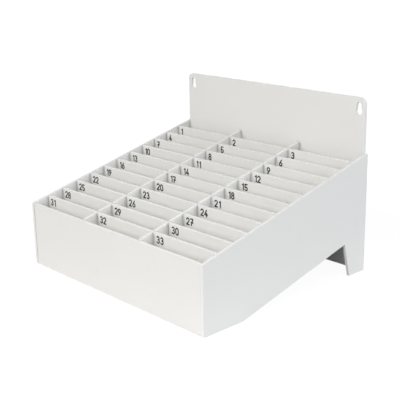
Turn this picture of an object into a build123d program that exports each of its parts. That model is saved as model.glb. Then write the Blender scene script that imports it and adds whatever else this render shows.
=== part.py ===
from build123d import *
import math
import os

# Phone rack of flat white sheet boards: three columns of upright slots on a sloping floor.
# Millimetres, +Z up. The front faces -Y, the wall side faces +Y, the rack stands on Z = 0.
# Everything is built with the front face at Y = 0 and then moved back by half the depth.

# Board stock and the play in a half-lap slot, on each side of the board that enters it.
sheet = 4.0
lap_play = 0.15

# Overall width, shared out evenly to the columns of slots.
width = 350.0
columns = 3

# Clear width of a slot from front to back, and how many rows of slots there are.
row_gap = 21.0
rows = 12

# Side outline: rim height at the front, its rise to the back, and the two feet.
front_height = 90.0
rim_rise = 75.0
front_foot = 65.0
rear_foot = 32.0
leg_top = 44.0

# How far the front panel stands back from the front ends of the sides.
front_recess = 0.7

# Back panel with its two keyholes.
back_height = 240.0
back_corner = 10.0
keyhole_circle = 10.0
keyhole_neck = 7.5
keyhole_lift = 8.0
keyhole_inset = 10.5
keyhole_drop = 19.0

# Number figures: ink size, line width, film, spacing, and place on the board.
figure_height = 10.0
figure_width = 6.2
figure_line = 1.7
figure_film = 0.2
figure_gap = 0.9
one_indent = 1.3
number_inset = 5.9
number_drop = 2.9

# Shapes of the figures, as shares of the width or the height between their strokes' middles.
upper_bowl = 0.235
one_stem = 0.4
one_flag = 0.75
four_peak = 0.68
four_bar = 0.27
four_upright = 0.75
four_upright_top = 0.52
five_flag = 0.92
six_tip = 0.78
seven_foot = 0.3
seven_bar = 0.48
seven_bar_start = 0.2

# Angles in degrees at which the open bowls start, and how far they turn.
two_start = 165
three_start = 150
three_turn = 240
five_start = 140
five_turn = 290

# Worked out from the sizes above.
inner_width = width - 2 * sheet
half_inner = inner_width / 2
pitch_x = (width - sheet) / columns
pitch_y = row_gap + sheet
depth = rows * pitch_y + sheet
slope = rim_rise / depth
floor_rise = sheet * math.sqrt(1 + slope ** 2)
mitre_y = front_foot - (floor_rise - sheet) / slope
front_inner_y = front_recess + sheet
back_face_y = depth - sheet
one_width = one_stem * (figure_width - figure_line) + figure_line


def rim(y):
    """Height of the sloping rim at a distance y behind the front face."""
    return front_height + slope * y


def under(y):
    """Height of the sloping lower edge, which is parallel to the rim."""
    return slope * (y - front_foot)


def floor_top(y):
    """Height of the floor's upper face: flat at the front, then sloping."""
    return max(sheet, under(y) + floor_rise)


def divider_y(row):
    """Middle of the cross divider that closes a row of slots, row 1 being the front one."""
    return sheet / 2 + row * pitch_y


def long_divider_x(index):
    """Middle of a long divider, counted from the left."""
    return -half_inner + index * pitch_x - sheet / 2


def side_view(points, x_start, thickness):
    """Board with an outline in the Y-Z plane, from x_start towards +X."""
    return extrude(Plane.YZ.offset(x_start) * Polygon(*points, align=None), thickness)


def front_view(outline, y_front, thickness):
    """Board with an outline in the X-Z plane, from y_front towards +Y."""
    return extrude(Plane.XZ.offset(-y_front) * outline, -thickness)


def block(x_range, y_range, z_range):
    """Plain box from its lowest and highest coordinates."""
    spans = (x_range, y_range, z_range)
    size = [high - low for low, high in spans]
    centre = [(high + low) / 2 for low, high in spans]
    return Pos(*centre) * Box(*size)


def side_panel(x_start):
    """Side board: sloping rim, flat front foot, sloping lower edge and a tapered rear leg."""
    leg_y = depth - leg_top
    outline = [
        (0, 0),
        (front_foot, 0),
        (leg_y, under(leg_y)),
        (depth - rear_foot, 0),
        (depth, 0),
        (depth, rim(depth)),
        (0, rim(0)),
    ]
    return side_view(outline, x_start, sheet)


def front_panel():
    """Plain front board between the sides."""
    return block((-half_inner, half_inner), (front_recess, front_inner_y), (0, rim(0)))


def keyhole():
    """Keyhole outline: round entry below, narrower neck above, origin at the entry's centre."""
    neck = Pos(0, keyhole_lift / 2) * Rectangle(keyhole_neck, keyhole_lift)
    neck_end = Pos(0, keyhole_lift) * Circle(keyhole_neck / 2)
    return Circle(keyhole_circle / 2) + neck + neck_end


def back_panel():
    """Tall back board with rounded top corners and a keyhole near each of them."""
    outline = Pos(0, back_height / 2) * Rectangle(inner_width, back_height)
    top_corners = outline.vertices().group_by(Axis.Y)[-1]
    outline = fillet(top_corners, back_corner)
    for side in (-1, 1):
        x = side * (half_inner - keyhole_inset)
        outline -= Pos(x, back_height - keyhole_drop) * keyhole()
    return front_view(outline, back_face_y, sheet)


def front_floor():
    """Flat floor board under the first rows, mitred at its rear edge."""
    outline = [(front_inner_y, 0), (front_foot, 0), (mitre_y, sheet), (front_inner_y, sheet)]
    return side_view(outline, -half_inner, inner_width)


def sloping_floor():
    """Floor board that rises to the back, flush with the sides' lower edge."""
    outline = [
        (front_foot, 0),
        (back_face_y, under(back_face_y)),
        (back_face_y, under(back_face_y) + floor_rise),
        (mitre_y, sheet),
    ]
    return side_view(outline, -half_inner, inner_width)


def divider_base(row):
    """Height on which a cross divider stands: the floor under its rear face."""
    return floor_top(divider_y(row) + sheet / 2)


def divider_top(row):
    """Level top of a cross divider, flush with the rim at its front face."""
    return rim(divider_y(row) - sheet / 2)


def lap_height(row):
    """Height at which the long and the cross dividers meet in their half laps."""
    return (divider_base(row) + divider_top(row)) / 2


def long_divider(index):
    """Board from front to back, with a slot open at the top for each cross divider."""
    outline = [
        (front_inner_y, sheet),
        (mitre_y, sheet),
        (back_face_y, floor_top(back_face_y)),
        (back_face_y, rim(back_face_y)),
        (front_inner_y, rim(front_inner_y)),
    ]
    x = long_divider_x(index)
    board = side_view(outline, x - sheet / 2, sheet)
    half_slot = sheet / 2 + lap_play
    for row in range(1, rows):
        y = divider_y(row)
        slot_y = (y - half_slot, y + half_slot)
        board -= block((x - sheet, x + sheet), slot_y, (lap_height(row), rim(depth)))
    return board


def cross_divider(row):
    """Board from side to side, with a slot open at the bottom for each long divider."""
    y = divider_y(row)
    y_range = (y - sheet / 2, y + sheet / 2)
    board = block((-half_inner, half_inner), y_range, (divider_base(row), divider_top(row)))
    half_slot = sheet / 2 + lap_play
    for index in range(1, columns):
        x = long_divider_x(index)
        board -= block((x - half_slot, x + half_slot), (0, depth), (0, lap_height(row) + lap_play))
    return board


def straight(start, end):
    """Straight stroke with round ends."""
    middle = ((start[0] + end[0]) / 2, (start[1] + end[1]) / 2)
    return SlotCenterPoint(middle, end, figure_line)


def bend(centre, radius, start_angle, turn):
    """Stroke along an arc, with round ends."""
    return SlotArc(CenterArc(centre, radius, start_angle, turn), figure_line)


def ring(centre, radius):
    """Stroke along a whole circle."""
    return Pos(*centre) * (Circle(radius + figure_line / 2) - Circle(radius - figure_line / 2))


def at(centre, radius, angle):
    """Point on a circle at an angle in degrees."""
    return (
        centre[0] + radius * math.cos(math.radians(angle)),
        centre[1] + radius * math.sin(math.radians(angle)),
    )


def touch_angle(centre, radius, point, side):
    """Angle on a circle where a line from an outer point touches it; side 1 is anticlockwise."""
    run = point[0] - centre[0]
    rise = point[1] - centre[1]
    return math.degrees(math.atan2(rise, run) + side * math.acos(radius / math.hypot(run, rise)))


def figures():
    """Outlines of the ten figures, each with its ink box starting at the origin."""
    w = figure_width - figure_line
    h = figure_height - figure_line
    bowl = w / 2
    low = (bowl, bowl)
    high = (bowl, h - bowl)
    small_bowl = upper_bowl * h
    large_bowl = h / 2 - small_bowl
    upper = (bowl, h - small_bowl)
    lower = (bowl, large_bowl)
    stem = one_stem * w
    heel = (0, 0)
    neck = touch_angle(high, bowl, heel, 1)
    bar = four_bar * h
    upright = four_upright * w
    shoulder = at(low, bowl, five_start)
    six_end = (six_tip * w, h)
    nine_end = (w - six_tip * w, 0)
    strokes = {
        "0": [
            straight((0, bowl), (0, h - bowl)),
            straight((w, bowl), (w, h - bowl)),
            bend(high, bowl, 0, 180),
            bend(low, bowl, 180, 180),
        ],
        "1": [straight((stem, 0), (stem, h)), straight((stem, h), (0, h - one_flag * stem))],
        "2": [
            bend(high, bowl, two_start, neck - two_start),
            straight(at(high, bowl, neck), heel),
            straight(heel, (w, 0)),
        ],
        "3": [bend(upper, small_bowl, three_start, -three_turn), bend(lower, large_bowl, 90, -three_turn)],
        "4": [
            straight((four_peak * w, h), (0, bar)),
            straight((0, bar), (w, bar)),
            straight((upright, 0), (upright, four_upright_top * h)),
        ],
        "5": [
            straight((shoulder[0], h), (five_flag * w, h)),
            straight((shoulder[0], h), shoulder),
            bend(low, bowl, five_start, -five_turn),
        ],
        "6": [ring(low, bowl), straight(at(low, bowl, touch_angle(low, bowl, six_end, 1)), six_end)],
        "7": [
            straight((0, h), (w, h)),
            straight((w, h), (seven_foot * w, 0)),
            straight((seven_bar_start * w, seven_bar * h), (w, seven_bar * h)),
        ],
        "8": [ring(upper, small_bowl), ring(lower, large_bowl)],
        "9": [ring(high, bowl), straight(at(high, bowl, touch_angle(high, bowl, nine_end, 1)), nine_end)],
    }
    to_origin = Pos(figure_line / 2, figure_line / 2)
    return {digit: to_origin * sum(parts[1:], parts[0]) for digit, parts in strokes.items()}


def number_row(row, outlines):
    """The numbers on one cross divider: one solid for each figure, on the board's front face."""
    y = divider_y(row) - sheet / 2
    z = divider_top(row) - number_drop - figure_height
    solids = []
    for column in range(columns):
        x = -half_inner + column * pitch_x + number_inset
        for digit in str(columns * (rows - 1 - row) + column + 1):
            indent = one_indent if digit == "1" else 0
            ink_width = one_width if digit == "1" else figure_width
            film = front_view(Pos(x + indent, z) * outlines[digit], y - figure_film, figure_film)
            solids += film.solids()
            x += indent + ink_width + figure_gap
    return Compound(children=solids)


def all_nodes():
    """Every node of the rack by its name."""
    nodes = {
        "left_side_panel": side_panel(-half_inner - sheet),
        "right_side_panel": side_panel(half_inner),
        "front_panel": front_panel(),
        "back_panel": back_panel(),
        "front_floor": front_floor(),
        "sloping_floor": sloping_floor(),
    }
    for index in range(1, columns):
        nodes[f"long_divider_{index}"] = long_divider(index)
    for row in range(1, rows):
        nodes[f"cross_divider_{row:02d}"] = cross_divider(row)
    outlines = figures()
    for row in range(1, rows):
        nodes[f"number_row_{row:02d}"] = number_row(row, outlines)
    return nodes


os.makedirs("parts", exist_ok=True)
to_centre = Pos(0, -depth / 2, 0)
for name, shape in all_nodes().items():
    placed = to_centre * shape
    placed.label = name
    export_step(placed, f"parts/{name}.step")
print("width", width, "depth", depth, "height", back_height)
print("pocket depth", rim(depth / 2) - floor_top(depth / 2))
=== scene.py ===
import math

import bpy
from mathutils import Matrix, Vector

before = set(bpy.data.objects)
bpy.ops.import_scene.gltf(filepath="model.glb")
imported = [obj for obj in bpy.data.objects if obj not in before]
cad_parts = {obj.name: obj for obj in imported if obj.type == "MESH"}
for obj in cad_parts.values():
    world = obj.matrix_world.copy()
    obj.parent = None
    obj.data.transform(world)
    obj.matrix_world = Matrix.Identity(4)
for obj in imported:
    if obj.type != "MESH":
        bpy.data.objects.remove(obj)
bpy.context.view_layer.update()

# Phone rack of white sheet boards. Metres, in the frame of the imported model.
# The boards and the number figures are the model's own nodes. All get materials, and the
# boards get small edge rounds. Light, a floor and the photograph's camera are added.

# Camera: place, direction and lens that put the corners where the photograph has them.
camera_place = Vector((0.84928, -0.78036, 0.44468))
camera_azimuth = math.radians(47.12)
camera_elevation = math.radians(16.756)
camera_roll = math.radians(-1.018)
focal_pixels = 873.674
picture_pixels = 400
sensor = 36.0

# Rounds that sanding leaves on the boards' edges, the distance at which corners are joined,
# and the angle up to which two faces are one flat face.
edge_round = 0.00012
edge_segments = 2
edge_angle = math.radians(30)
weld_distance = 0.00001
flat_angle = math.radians(1)

# The rack's width and depth, and the rise of its rim over the depth, which gives the slope.
width = 0.35
depth = 0.304
rim_rise = 0.075

# Sheet: tone, roughness and refraction of its faces and sawn edges, and the share of the
# edges' tone that a kind of board has on its rim. The edges' paler tone is partly the sawn
# sheet's own and partly painted highlight on the top edges; the lower share on the side
# panels' rims is painted shade.
face_colour = (0.884, 0.884, 0.856)
sawn_and_highlight_colour = (0.94, 0.94, 0.925)
rim_shade_shares = {"side": 0.94}
face_roughness = 0.42
edge_roughness = 0.62
sheet_refraction = 1.49

# How far a normal turns from the sheet's thickness where an edge begins, and from upright
# where a rim begins, both as cosines.
face_turn = (0.8, 0.95)
rim_turn = (0.5, 0.9)

# Noise patterns as waves per metre, detail and roughness, and the middle of their values.
saw_pattern = (1400.0, 3.0, 0.6)
grain_pattern = (2600.0, 3.0, 0.55)
ripple_pattern = (160.0, 2.0, 0.4)
cloud_pattern = (9.0, 3.0, 0.55)
rubbed_pattern = (55.0, 5.0, 0.65)
film_pattern = (900.0, 3.0, 0.6)
pattern_middle = (0.3, 0.7)

# How much the saw lines are stretched along the sheet's thickness, the shares of the tone
# in dark saw lines and dark clouds, and how the clouds change the roughness.
saw_stretch = 0.985
saw_share = 0.93
cloud_share = 0.985
cloud_roughness = (-0.03, 0.05)

# Rubbed spots: the noise values between which they begin, their tone, how much of it shows,
# and how much rougher they are.
rubbed_values = (0.62, 0.78)
rubbed_colour = (0.45, 0.44, 0.42)
rubbed_strength = 0.05
rubbed_roughness = 0.08

# Bumps as strength and depth.
ripple_bump = (0.12, 0.00025)
grain_bump = (0.25, 0.00003)
saw_bump = (0.5, 0.00006)
film_bump = (0.2, 0.00004)

# Film of the figures: tone, the shares that its mottle gives, roughness and gloss.
film_colour = (0.022, 0.02, 0.02)
film_shares = (0.7, 1.5)
film_roughness = (0.42, 0.6)
film_shine = 0.2

# Painted shade in the joints: the tone is darkened where occlusion finds another board near,
# standing in for the shadow there. How far from the next board it begins, the rays that look
# for it, the openness over which it fades out, its tone and strength, and the heights above
# the floor over which it sets in.
joint_shade_reach = 0.005
joint_shade_samples = 8
joint_shade_openness = (0.4, 1.0)
joint_shade_colour = (0.3, 0.29, 0.285)
joint_shade_strength = 0.45
joint_shade_heights = (0.004, 0.012)

# Light: soft lamps as name, place, size, power and colour, the point they are aimed at, and
# the even room light.
lamps = (
    ("key", (-0.85, -1.65, 1.05), 1.1, 15.8, (1.0, 0.988, 0.964)),
    ("front", (0.6, -0.8, 0.9), 0.6, 4.6, (0.995, 0.978, 1.0)),
    ("low_front", (0.5, -1.2, 0.5), 0.6, 2.6, (1.0, 0.978, 0.968)),
    ("right", (1.5, 0.6, 0.9), 1.2, 14.7, (0.896, 0.944, 1.0)),
    ("behind", (-1.1, 1.5, 0.6), 1.0, 12.0, (1.0, 1.0, 1.0)),
)
lamp_aim = Vector((0.0, 0.0, 0.1))
room_colour = (1.0, 1.0, 1.0)
room_strength = 0.21

# Floor: half its width, and its own tone, in which light and shade are painted. A painted
# pool of light makes the tone paler near the rack and falls with the distance, counted in half
# widths and half depths of the rack, and a painted shadow makes it darker by a share under
# the rack.
floor_reach = 6.0
floor_light_pool_tones = (0.74, 0.28)
floor_light_pool_reach = (1.4, 2.4)
floor_painted_shadow = (0.85, 1.1)
floor_painted_shadow_share = 0.75

# White that the camera and gloss see instead of the floor's own tone: its strength, and the
# share of it near the rack, which keeps the shadow there, and beyond, by distance in metres.
white = (1.0, 1.0, 1.0, 1.0)
floor_white = 1.08
floor_white_share = (0.88, 1.0)
floor_fade = (0.3, 0.7)


def fill(tree, socket, value):
    """Links a socket to another one, or sets its value."""
    if isinstance(value, bpy.types.NodeSocket):
        tree.links.new(value, socket)
    else:
        socket.default_value = value


def new_material(name):
    """Empty node material with its output node."""
    material = bpy.data.materials.new(name)
    material.use_nodes = True
    tree = material.node_tree
    tree.nodes.clear()
    return material, tree, tree.nodes.new("ShaderNodeOutputMaterial")


def add(tree, kind, **inputs):
    """New node with some of its input sockets set or linked."""
    node = tree.nodes.new(kind)
    for name, value in inputs.items():
        fill(tree, node.inputs[name.replace("_", " ")], value)
    return node


def maths(tree, operation, first, second=0.0):
    """Result of a maths node on two values or sockets."""
    node = tree.nodes.new("ShaderNodeMath")
    node.operation = operation
    for socket, value in zip(node.inputs, (first, second)):
        fill(tree, socket, value)
    return node.outputs[0]


def vector_maths(tree, operation, result, first, second=(0.0, 0.0, 0.0)):
    """Named result of a vector maths node on a socket and a fixed vector."""
    node = tree.nodes.new("ShaderNodeVectorMath")
    node.operation = operation
    for socket, value in zip(node.inputs, (first, second)):
        fill(tree, socket, value)
    return node.outputs[result]


def ramp(tree, value, low, high, start=0.0, end=1.0):
    """Value mapped from a range to another, held at both ends."""
    node = add(tree, "ShaderNodeMapRange", Value=value)
    for name, number in (("From Min", low), ("From Max", high), ("To Min", start), ("To Max", end)):
        node.inputs[name].default_value = number
    return node.outputs[0]


def noise(tree, place, pattern):
    """Noise value of a pattern."""
    waves, detail, roughness = pattern
    settings = {"Scale": waves, "Detail": detail, "Roughness": roughness}
    return add(tree, "ShaderNodeTexNoise", Vector=place, **settings).outputs["Fac"]


def mixed(tree, share, first, second):
    """Colour mixed from two colours or sockets."""
    node = tree.nodes.new("ShaderNodeMix")
    node.data_type = "RGBA"
    fill(tree, node.inputs[0], share)
    for index, value in ((6, first), (7, second)):
        linked = isinstance(value, bpy.types.NodeSocket)
        fill(tree, node.inputs[index], value if linked else (*value, 1.0))
    return node.outputs[2]


def blended(tree, share, first, second):
    """Plain number mixed from two numbers or sockets."""
    node = tree.nodes.new("ShaderNodeMix")
    for index, value in ((0, share), (2, first), (3, second)):
        fill(tree, node.inputs[index], value)
    return node.outputs[0]


def mixed_shader(tree, share, first, second):
    """Shader mixed from two shader nodes."""
    node = tree.nodes.new("ShaderNodeMixShader")
    for socket, value in zip(node.inputs, (share, first.outputs[0], second.outputs[0])):
        fill(tree, socket, value)
    return node.outputs[0]


def bump(tree, height, size, normal=None):
    """Normal of a bump with a strength and a depth, on top of another bump."""
    strength, deep = size
    node = add(tree, "ShaderNodeBump", Height=height, Strength=strength, Distance=deep)
    if normal is not None:
        fill(tree, node.inputs["Normal"], normal)
    return node.outputs[0]


def shares_of(colour, share):
    """Colour made darker or paler by a share."""
    return [share * part for part in colour]


def sheet_material(name, across, rim_shade_share):
    """White plastic sheet with its thickness along a direction: smooth faces, sawn edges."""
    material, tree, output = new_material(name)
    normal = tree.nodes.new("ShaderNodeNewGeometry").outputs["True Normal"]
    place = tree.nodes.new("ShaderNodeTexCoord").outputs["Object"]

    facing = vector_maths(tree, "DOT_PRODUCT", "Value", normal, across)
    sawn = ramp(tree, maths(tree, "ABSOLUTE", facing), *face_turn, 1.0, 0.0)

    # Saw lines run across an edge: the noise is stretched along the sheet's thickness.
    squeeze = [1.0 - saw_stretch * abs(part) for part in across]
    saw_lines = noise(tree, vector_maths(tree, "MULTIPLY", "Vector", place, squeeze), saw_pattern)
    grain = noise(tree, place, grain_pattern)
    ripple = noise(tree, place, ripple_pattern)
    cloud = noise(tree, place, cloud_pattern)
    rubbed = ramp(tree, noise(tree, place, rubbed_pattern), *rubbed_values)

    clear = ramp(tree, cloud, *pattern_middle)
    face_tone = mixed(tree, clear, shares_of(face_colour, cloud_share), face_colour)
    # Sawn edges: a paler tone, partly the sheet's own and partly painted highlight on the top
    # edges.
    sawn_and_highlight_tone = mixed(tree, saw_lines, shares_of(sawn_and_highlight_colour, saw_share), sawn_and_highlight_colour)
    # Painted shade: the upward-facing rims of the side panels are a share darker.
    upward = vector_maths(tree, "DOT_PRODUCT", "Value", normal, (0.0, 0.0, 1.0))
    rim = ramp(tree, upward, *rim_turn)
    sawn_and_highlight_tone = mixed(tree, rim, sawn_and_highlight_tone, shares_of(sawn_and_highlight_colour, rim_shade_share))
    tone = mixed(tree, sawn, face_tone, sawn_and_highlight_tone)
    tone = mixed(tree, maths(tree, "MULTIPLY", rubbed, rubbed_strength), tone, rubbed_colour)

    # Painted shade: darker where occlusion finds another board within reach, above a small height.
    nook = add(tree, "ShaderNodeAmbientOcclusion", Distance=joint_shade_reach)
    nook.samples = joint_shade_samples
    painted_joint_shade = ramp(tree, nook.outputs["AO"], *joint_shade_openness, joint_shade_strength, 0.0)
    height = add(tree, "ShaderNodeSeparateXYZ", Vector=place).outputs["Z"]
    painted_joint_shade = maths(tree, "MULTIPLY", painted_joint_shade, ramp(tree, height, *joint_shade_heights))
    tone = mixed(tree, painted_joint_shade, tone, joint_shade_colour)

    rough = blended(tree, sawn, face_roughness, edge_roughness)
    rough = maths(tree, "ADD", rough, ramp(tree, cloud, *pattern_middle, *cloud_roughness))
    rough = maths(tree, "ADD", rough, maths(tree, "MULTIPLY", rubbed, rubbed_roughness))

    relief = bump(tree, ripple, ripple_bump)
    relief = bump(tree, grain, grain_bump, relief)
    relief = bump(tree, maths(tree, "MULTIPLY", saw_lines, sawn), saw_bump, relief)

    shader = add(tree, "ShaderNodeBsdfPrincipled", Base_Color=tone, Roughness=rough, Normal=relief)
    shader.inputs["IOR"].default_value = sheet_refraction
    tree.links.new(shader.outputs[0], output.inputs[0])
    return material


def figure_material():
    """Dark matt film of the number figures, a little uneven in tone and gloss."""
    material, tree, output = new_material("figure_film")
    place = tree.nodes.new("ShaderNodeTexCoord").outputs["Object"]
    mottle = noise(tree, place, film_pattern)
    tone = mixed(tree, mottle, *(shares_of(film_colour, share) for share in film_shares))
    rough = ramp(tree, mottle, *pattern_middle, *film_roughness)
    relief = bump(tree, mottle, film_bump)
    shader = add(tree, "ShaderNodeBsdfPrincipled", Base_Color=tone, Roughness=rough, Normal=relief)
    shader.inputs["Specular IOR Level"].default_value = film_shine
    tree.links.new(shader.outputs[0], output.inputs[0])
    return material


def give(node, material):
    """Gives a node of the model one material in all its slots."""
    slots = node.material_slots
    if not slots:
        node.data.materials.append(material)
    for slot in slots:
        slot.material = material


def round_edges(node):
    """Joins the corners and the flat faces of a board and rounds its edges a little."""
    weld = node.modifiers.new("weld", "WELD")
    weld.merge_threshold = weld_distance
    # Without whole flat faces the rounds would overlap on the long thin triangles beside the
    # keyholes.
    whole = node.modifiers.new("whole_faces", "DECIMATE")
    whole.decimate_type = "DISSOLVE"
    whole.angle_limit = flat_angle
    bevel = node.modifiers.new("bevel", "BEVEL")
    bevel.width = edge_round
    bevel.segments = edge_segments
    bevel.limit_method = "ANGLE"
    bevel.angle_limit = edge_angle
    bevel.use_clamp_overlap = True


def finish_boards():
    """Materials and edge rounds for every node of the model."""
    tilt = math.atan2(rim_rise, depth)
    # Directions of the boards' thickness, and the names that say which one a board has.
    # The front and back panels and the cross dividers are the rest.
    across = {
        "side": (1.0, 0.0, 0.0),
        "long": (1.0, 0.0, 0.0),
        "cross": (0.0, 1.0, 0.0),
        "flat": (0.0, 0.0, 1.0),
        "slope": (0.0, -math.sin(tilt), math.cos(tilt)),
    }
    kinds = {
        "side_panel": "side",
        "long_divider": "long",
        "front_floor": "flat",
        "sloping_floor": "slope",
    }
    sheets = {
        kind: sheet_material(f"sheet_{kind}", direction, rim_shade_shares.get(kind, 1.0))
        for kind, direction in across.items()
    }
    figures = figure_material()
    for name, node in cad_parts.items():
        if name.startswith("number_row"):
            give(node, figures)
            continue
        kind = next((kind for part, kind in kinds.items() if part in name), "cross")
        give(node, sheets[kind])
        round_edges(node)


def camera():
    """The photograph's viewpoint."""
    forward = Vector((
        -math.sin(camera_azimuth) * math.cos(camera_elevation),
        math.cos(camera_azimuth) * math.cos(camera_elevation),
        -math.sin(camera_elevation),
    ))
    turn = forward.to_track_quat("-Z", "Y").to_matrix() @ Matrix.Rotation(camera_roll, 3, "Z")
    data = bpy.data.cameras.new("camera")
    data.sensor_width = sensor
    data.lens = focal_pixels / picture_pixels * sensor
    holder = bpy.data.objects.new("camera", data)
    holder.matrix_world = Matrix.Translation(camera_place) @ turn.to_4x4()
    bpy.context.scene.collection.objects.link(holder)
    bpy.context.scene.camera = holder


def lamp(name, place, size, power, colour):
    """Square soft lamp aimed at the rack."""
    place = Vector(place)
    data = bpy.data.lights.new(name, "AREA")
    data.size = size
    data.energy = power
    data.color = colour
    holder = bpy.data.objects.new(name, data)
    turn = (lamp_aim - place).to_track_quat("-Z", "Y").to_matrix()
    holder.matrix_world = Matrix.Translation(place) @ turn.to_4x4()
    bpy.context.scene.collection.objects.link(holder)


def ray_kinds(tree):
    """1 or 0 for rays of the camera, and for rays of gloss and of clear materials."""
    path = tree.nodes.new("ShaderNodeLightPath").outputs
    mirrored = maths(tree, "MAXIMUM", path["Is Glossy Ray"], path["Is Transmission Ray"])
    return path["Is Camera Ray"], mirrored


def room():
    """Even room light, which the camera sees as plain white."""
    world = bpy.data.worlds.new("room")
    world.use_nodes = True
    tree = world.node_tree
    tree.nodes.clear()
    even = add(tree, "ShaderNodeBackground", Color=(*room_colour, 1.0), Strength=room_strength)
    plain = add(tree, "ShaderNodeBackground", Color=white, Strength=1.0)
    output = tree.nodes.new("ShaderNodeOutputWorld")
    share = maths(tree, "MAXIMUM", *ray_kinds(tree))
    tree.links.new(mixed_shader(tree, share, even, plain), output.inputs[0])
    bpy.context.scene.world = world


def floor():
    """Pale floor that fades to plain white and keeps a light shadow of the rack, with a painted
    pool of light around the rack and painted shadow under it.
    """
    corners = [(-1, -1), (1, -1), (1, 1), (-1, 1)]
    mesh = bpy.data.meshes.new("floor")
    places = [(x * floor_reach, y * floor_reach, 0.0) for x, y in corners]
    mesh.from_pydata(places, [], [(0, 1, 2, 3)])
    plane = bpy.data.objects.new("floor", mesh)
    bpy.context.scene.collection.objects.link(plane)
    material, tree, output = new_material("floor")
    place = tree.nodes.new("ShaderNodeTexCoord").outputs["Object"]
    away = vector_maths(tree, "LENGTH", "Value", place)
    share = ramp(tree, away, *floor_fade, *floor_white_share)

    # Distance from the rack's middle, 1 at the outline of its box.
    scaled = vector_maths(tree, "DIVIDE", "Vector", place, (width / 2, depth / 2, 1.0))
    parts = add(tree, "ShaderNodeSeparateXYZ", Vector=scaled).outputs
    out = maths(tree, "MAXIMUM", *(maths(tree, "ABSOLUTE", parts[axis]) for axis in "XY"))
    # Painted light and shadow in the floor's own tone: paler near the rack, darker under it.
    beside = ramp(tree, out, *floor_painted_shadow)
    tone = ramp(tree, out, *floor_light_pool_reach, *floor_light_pool_tones)
    tone = maths(tree, "MULTIPLY", tone, ramp(tree, beside, 0.0, 1.0, floor_painted_shadow_share, 1.0))

    # Under the rack the gloss of its boards shows the floor as it is lit there.
    seen, mirrored = ray_kinds(tree)
    shown = maths(tree, "MAXIMUM", seen, maths(tree, "MULTIPLY", mirrored, beside))
    matt = add(tree, "ShaderNodeBsdfDiffuse", Color=tone)
    plain = add(tree, "ShaderNodeEmission", Color=white, Strength=floor_white)
    mix = mixed_shader(tree, maths(tree, "MULTIPLY", shown, share), matt, plain)
    tree.links.new(mix, output.inputs[0])
    mesh.materials.append(material)


finish_boards()
camera()
for values in lamps:
    lamp(*values)
room()
floor()
bpy.context.scene.view_settings.view_transform = "Standard"
